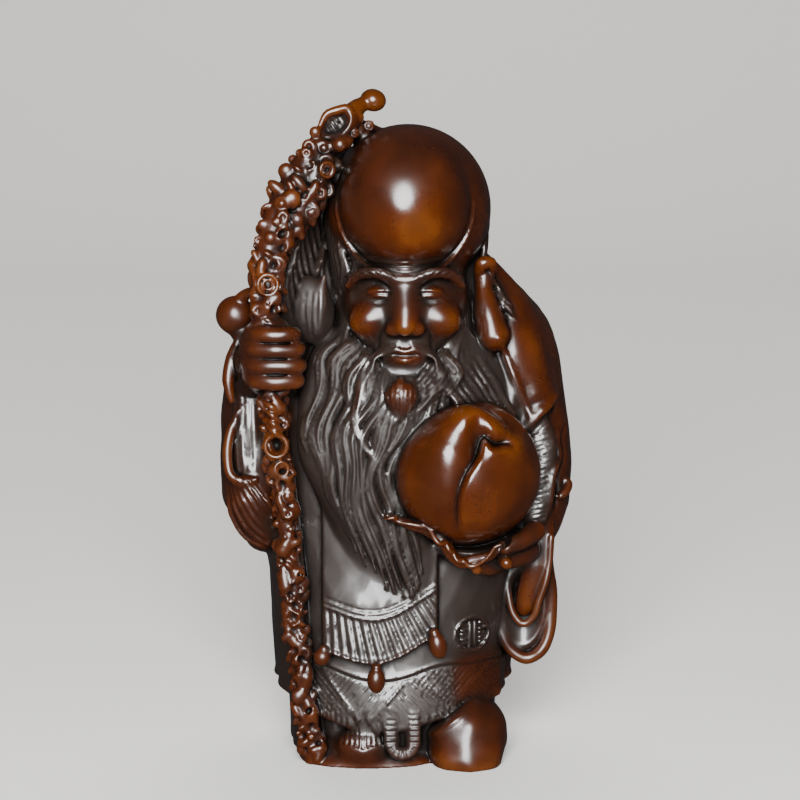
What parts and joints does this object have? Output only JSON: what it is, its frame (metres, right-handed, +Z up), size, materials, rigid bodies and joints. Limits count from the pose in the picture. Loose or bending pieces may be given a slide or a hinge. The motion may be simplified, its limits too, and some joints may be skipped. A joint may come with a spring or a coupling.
{
  "type": "shou lao figure",
  "caption": "Carved boxwood figure of the old man of long life, who leans on a knotted staff and holds up a peach; stands alone on its flat underside as an ornament.",
  "frame": {"origin": "on the surface the figure stands on, in the middle of its width and depth", "axes": "+Z up along the figure's height; the figure faces -Y; the staff is on the -X side and the peach on the +X side"},
  "size_m": [0.0586, 0.0464, 0.11],
  "materials": {
    "boxwood": "old boxwood stained and polished to a glossy amber brown on the raised forms, satin brown on the fine carving, near-black in the cuts"
  },
  "bodies": {
    "root": {"shou_lao_figure": "boxwood"}
  },
  "joints": []
}
